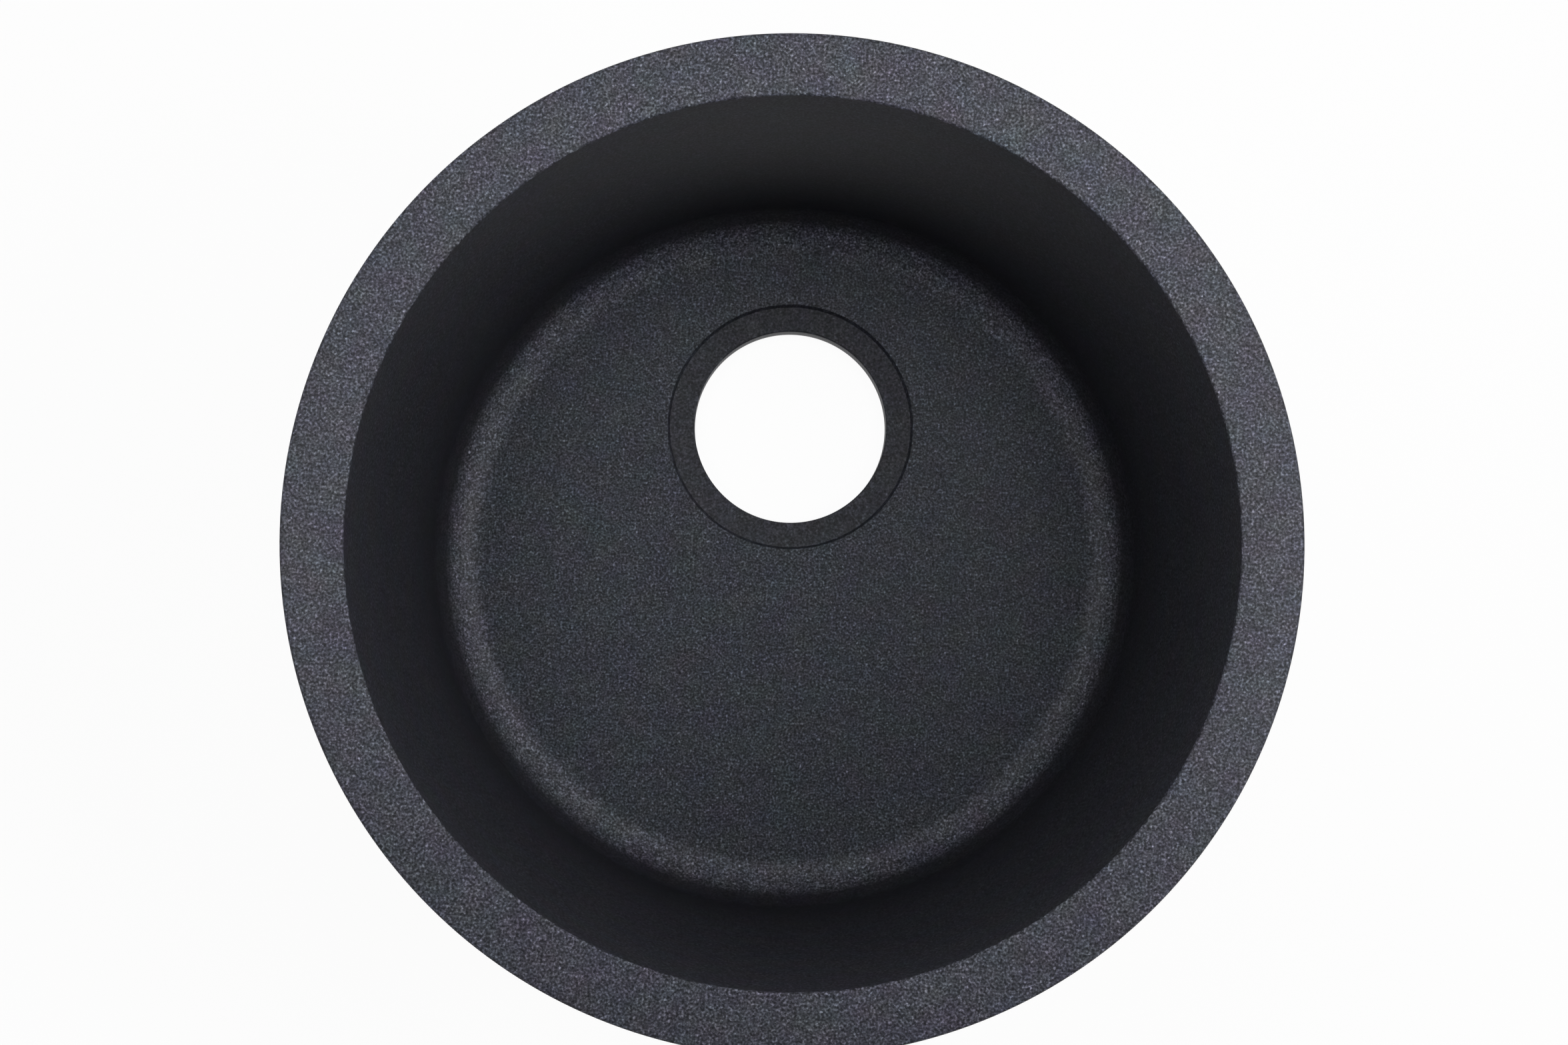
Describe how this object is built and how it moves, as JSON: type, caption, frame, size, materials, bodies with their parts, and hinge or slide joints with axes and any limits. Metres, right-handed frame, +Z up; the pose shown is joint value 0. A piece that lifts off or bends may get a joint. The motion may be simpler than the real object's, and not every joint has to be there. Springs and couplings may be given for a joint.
{
  "type": "round kitchen sink",
  "caption": "Round kitchen sink bowl in speckled black granite composite, with an off-centre drain hole, a rim seal and swing clips on screws that hold it in a worktop.",
  "frame": {"origin": "middle of the flat base that the bowl stands on, on the bowl's own axis", "axes": "+Z up out of the basin, +Y from the bowl's middle towards the drain, +X to the right"},
  "size_m": [0.4059, 0.406, 0.192],
  "materials": {
    "granite_composite": "satin",
    "seal_foam": "matte",
    "brass": "satin",
    "stainless_steel": "satin",
    "zinc_plated_steel": "satin"
  },
  "bodies": {
    "bowl": {"bowl": "granite_composite", "rim_seal": "seal_foam", "insert_1": "brass", "insert_2": "brass", "insert_3": "brass", "insert_4": "brass", "insert_5": "brass", "insert_6": "brass"},
    "washer_1": {"washer_1": "zinc_plated_steel"},
    "screw_1": {"screw_1": "stainless_steel"},
    "clip_1": {"clip_1": "zinc_plated_steel"},
    "washer_2": {"washer_2": "zinc_plated_steel"},
    "screw_2": {"screw_2": "stainless_steel"},
    "clip_2": {"clip_2": "zinc_plated_steel"},
    "washer_3": {"washer_3": "zinc_plated_steel"},
    "screw_3": {"screw_3": "stainless_steel"},
    "clip_3": {"clip_3": "zinc_plated_steel"},
    "washer_4": {"washer_4": "zinc_plated_steel"},
    "screw_4": {"screw_4": "stainless_steel"},
    "clip_4": {"clip_4": "zinc_plated_steel"},
    "washer_5": {"washer_5": "zinc_plated_steel"},
    "screw_5": {"screw_5": "stainless_steel"},
    "clip_5": {"clip_5": "zinc_plated_steel"},
    "washer_6": {"washer_6": "zinc_plated_steel"},
    "screw_6": {"screw_6": "stainless_steel"},
    "clip_6": {"clip_6": "zinc_plated_steel"}
  },
  "joints": [
    {"name": "clip_lift_1", "type": "slide", "parent": "bowl", "child": "washer_1", "axis": [0, 0, 1], "range_m": [0, 0.0195]},
    {"name": "screw_turn_1", "type": "hinge", "parent": "washer_1", "child": "screw_1", "pos_m": [0.16273, 0.09395, 0.1265], "axis": [0, 0, 1], "range_deg": [0, 10028.6]},
    {"name": "clip_swing_1", "type": "hinge", "parent": "washer_1", "child": "clip_1", "pos_m": [0.16273, 0.09395, 0.1265], "axis": [0, 0, -1], "range_deg": [0, 90]},
    {"name": "clip_lift_2", "type": "slide", "parent": "bowl", "child": "washer_2", "axis": [0, 0, 1], "range_m": [0, 0.0195]},
    {"name": "screw_turn_2", "type": "hinge", "parent": "washer_2", "child": "screw_2", "pos_m": [0, 0.18791, 0.1265], "axis": [0, 0, 1], "range_deg": [0, 10028.6]},
    {"name": "clip_swing_2", "type": "hinge", "parent": "washer_2", "child": "clip_2", "pos_m": [0, 0.18791, 0.1265], "axis": [0, 0, -1], "range_deg": [0, 90]},
    {"name": "clip_lift_3", "type": "slide", "parent": "bowl", "child": "washer_3", "axis": [0, 0, 1], "range_m": [0, 0.0195]},
    {"name": "screw_turn_3", "type": "hinge", "parent": "washer_3", "child": "screw_3", "pos_m": [-0.16273, 0.09395, 0.1265], "axis": [0, 0, 1], "range_deg": [0, 10028.6]},
    {"name": "clip_swing_3", "type": "hinge", "parent": "washer_3", "child": "clip_3", "pos_m": [-0.16273, 0.09395, 0.1265], "axis": [0, 0, -1], "range_deg": [0, 90]},
    {"name": "clip_lift_4", "type": "slide", "parent": "bowl", "child": "washer_4", "axis": [0, 0, 1], "range_m": [0, 0.0195]},
    {"name": "screw_turn_4", "type": "hinge", "parent": "washer_4", "child": "screw_4", "pos_m": [-0.16273, -0.09395, 0.1265], "axis": [0, 0, 1], "range_deg": [0, 10028.6]},
    {"name": "clip_swing_4", "type": "hinge", "parent": "washer_4", "child": "clip_4", "pos_m": [-0.16273, -0.09395, 0.1265], "axis": [0, 0, -1], "range_deg": [0, 90]},
    {"name": "clip_lift_5", "type": "slide", "parent": "bowl", "child": "washer_5", "axis": [0, 0, 1], "range_m": [0, 0.0195]},
    {"name": "screw_turn_5", "type": "hinge", "parent": "washer_5", "child": "screw_5", "pos_m": [0, -0.18791, 0.1265], "axis": [0, 0, 1], "range_deg": [0, 10028.6]},
    {"name": "clip_swing_5", "type": "hinge", "parent": "washer_5", "child": "clip_5", "pos_m": [0, -0.18791, 0.1265], "axis": [0, 0, -1], "range_deg": [0, 90]},
    {"name": "clip_lift_6", "type": "slide", "parent": "bowl", "child": "washer_6", "axis": [0, 0, 1], "range_m": [0, 0.0195]},
    {"name": "screw_turn_6", "type": "hinge", "parent": "washer_6", "child": "screw_6", "pos_m": [0.16273, -0.09395, 0.1265], "axis": [0, 0, 1], "range_deg": [0, 10028.6]},
    {"name": "clip_swing_6", "type": "hinge", "parent": "washer_6", "child": "clip_6", "pos_m": [0.16273, -0.09395, 0.1265], "axis": [0, 0, -1], "range_deg": [0, 90]}
  ],
  "couplings": [
    {"joint": "screw_turn_1", "follows": "clip_lift_1", "rad_per_m": 8976},
    {"joint": "screw_turn_2", "follows": "clip_lift_2", "rad_per_m": 8976},
    {"joint": "screw_turn_3", "follows": "clip_lift_3", "rad_per_m": 8976},
    {"joint": "screw_turn_4", "follows": "clip_lift_4", "rad_per_m": 8976},
    {"joint": "screw_turn_5", "follows": "clip_lift_5", "rad_per_m": 8976},
    {"joint": "screw_turn_6", "follows": "clip_lift_6", "rad_per_m": 8976}
  ]
}
